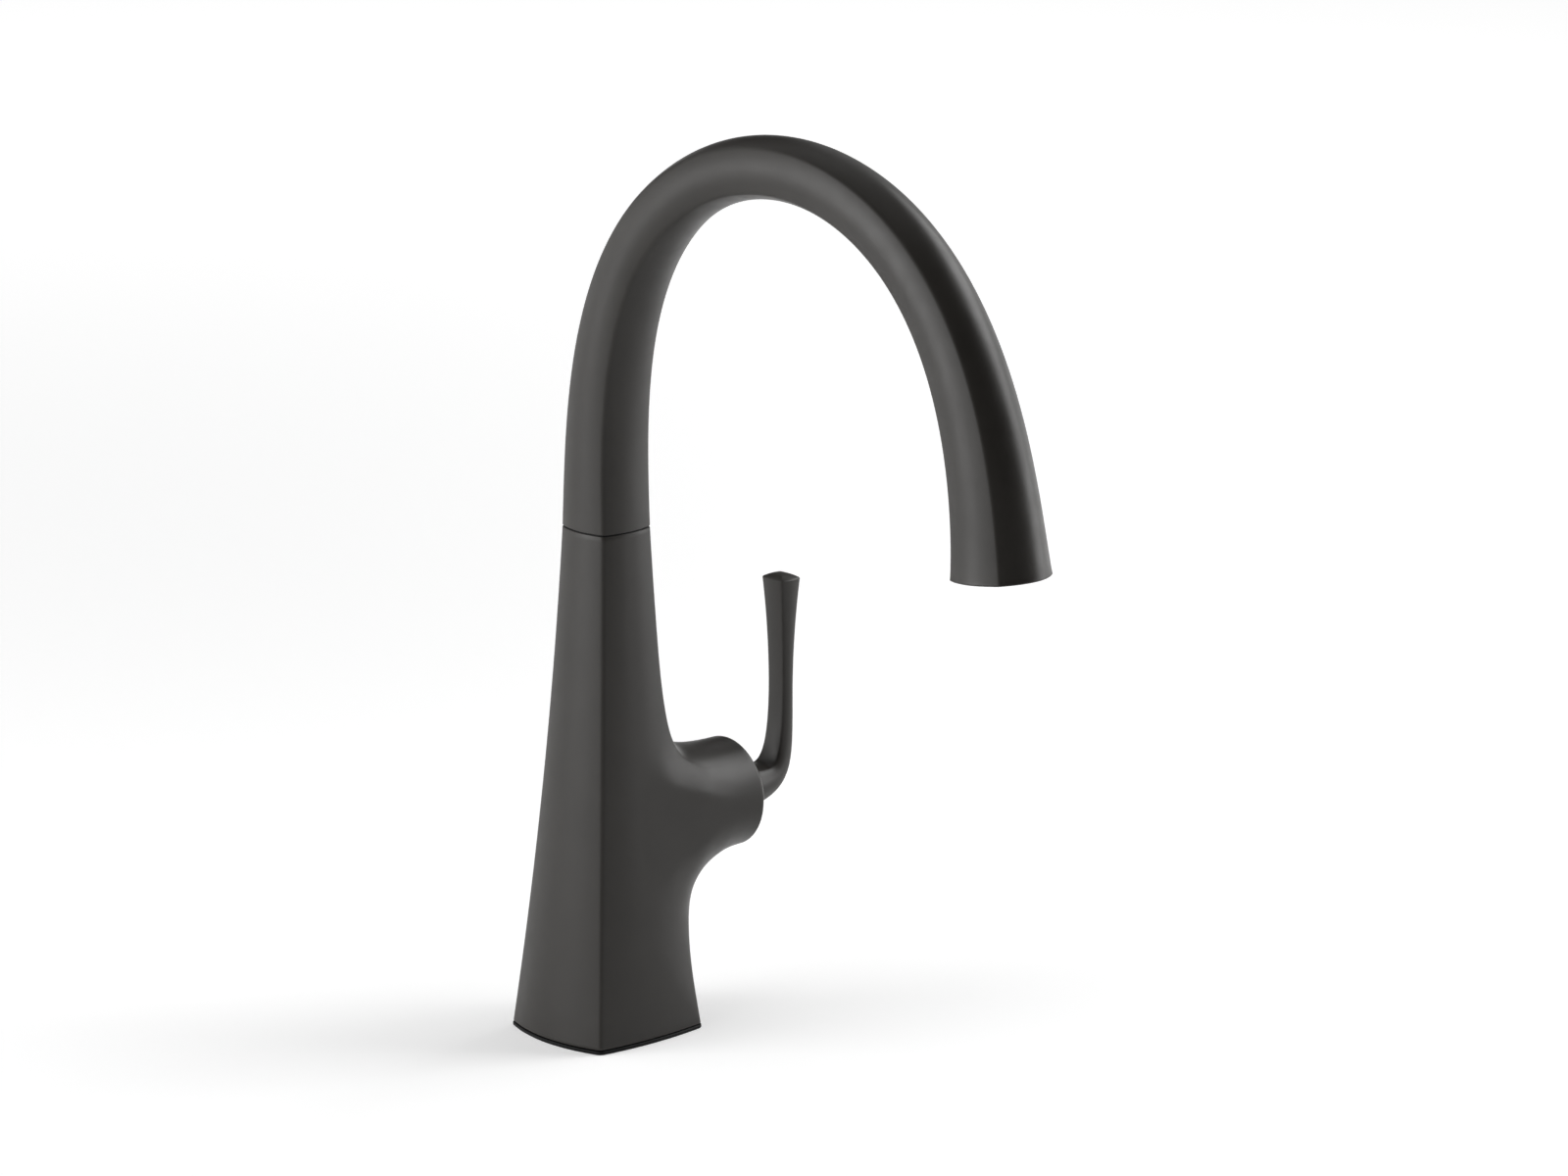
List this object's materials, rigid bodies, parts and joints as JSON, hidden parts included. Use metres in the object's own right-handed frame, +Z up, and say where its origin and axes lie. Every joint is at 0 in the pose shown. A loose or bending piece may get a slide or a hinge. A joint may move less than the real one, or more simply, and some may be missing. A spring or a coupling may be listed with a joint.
{
  "type": "faucet",
  "caption": "Deck-mounted gooseneck bar faucet: tapered square column, side valve boss with an upright lever, swivelling arched spout.",
  "frame": {"origin": "centre of the foot's underside, on the deck", "axes": "+Z up; -Y to the front, where the spout reaches; +X to the valve boss and the lever"},
  "size_m": [0.1281, 0.2639, 0.4486],
  "materials": {
    "black_coat": "matte black coat on metal",
    "black_trim": "matte moulded black",
    "rubber": "soft black rubber",
    "brass": "machined brass",
    "steel": "plain machined steel",
    "white_plastic": "moulded acetal",
    "grey_plastic": "moulded honeycomb",
    "ceramic": "lapped alumina disc"
  },
  "bodies": {
    "root": {"column_shell": "black_coat", "base_ring": "black_trim", "base_gasket": "rubber", "glide_ring": "black_trim", "valve_body": "brass", "hot_inlet_tail": "brass", "cold_inlet_tail": "brass", "cartridge_base": "white_plastic", "cartridge_seals": "rubber", "fixed_disc": "ceramic", "cartridge_housing": "white_plastic", "bonnet_nut": "brass", "mounting_shank": "brass", "rubber_washer": "rubber", "steel_washer": "steel", "mounting_nut": "brass", "clamp_screws": "steel", "spout_post": "brass", "spout_o_rings": "rubber"},
    "spout": {"spout_tube": "black_coat", "spout_hub": "white_plastic", "spout_screw": "steel", "aerator_seal": "rubber", "aerator_housing": "black_coat", "aerator_insert": "grey_plastic"},
    "rotor": {"cartridge_rotor": "white_plastic", "pivot_pin": "steel"},
    "disc": {"disc_carrier": "white_plastic", "moving_disc": "ceramic"},
    "lever": {"cartridge_stem": "brass", "handle_dome": "black_coat", "lever": "black_coat", "handle_screw": "steel", "handle_screw_plug": "black_trim"}
  },
  "joints": [
    {"name": "spout_swivel", "type": "hinge", "parent": "root", "child": "spout", "pos_m": [0, 0, 0.2016], "axis": [0, 0, 1], "continuous": true},
    {"name": "temperature", "type": "hinge", "parent": "root", "child": "rotor", "pos_m": [0.057, 0, 0.0835], "axis": [1, 0, 0], "range_deg": [-45, 45]},
    {"name": "flow", "type": "hinge", "parent": "rotor", "child": "lever", "pos_m": [0.057, 0, 0.0835], "axis": [0, 1, 0], "range_deg": [0, 22]},
    {"name": "disc_slide", "type": "slide", "parent": "rotor", "child": "disc", "axis": [0, 0, 1], "range_m": [0, 0.003]}
  ],
  "couplings": [
    {"joint": "disc_slide", "follows": "flow", "m_per_rad": 0.007805}
  ]
}
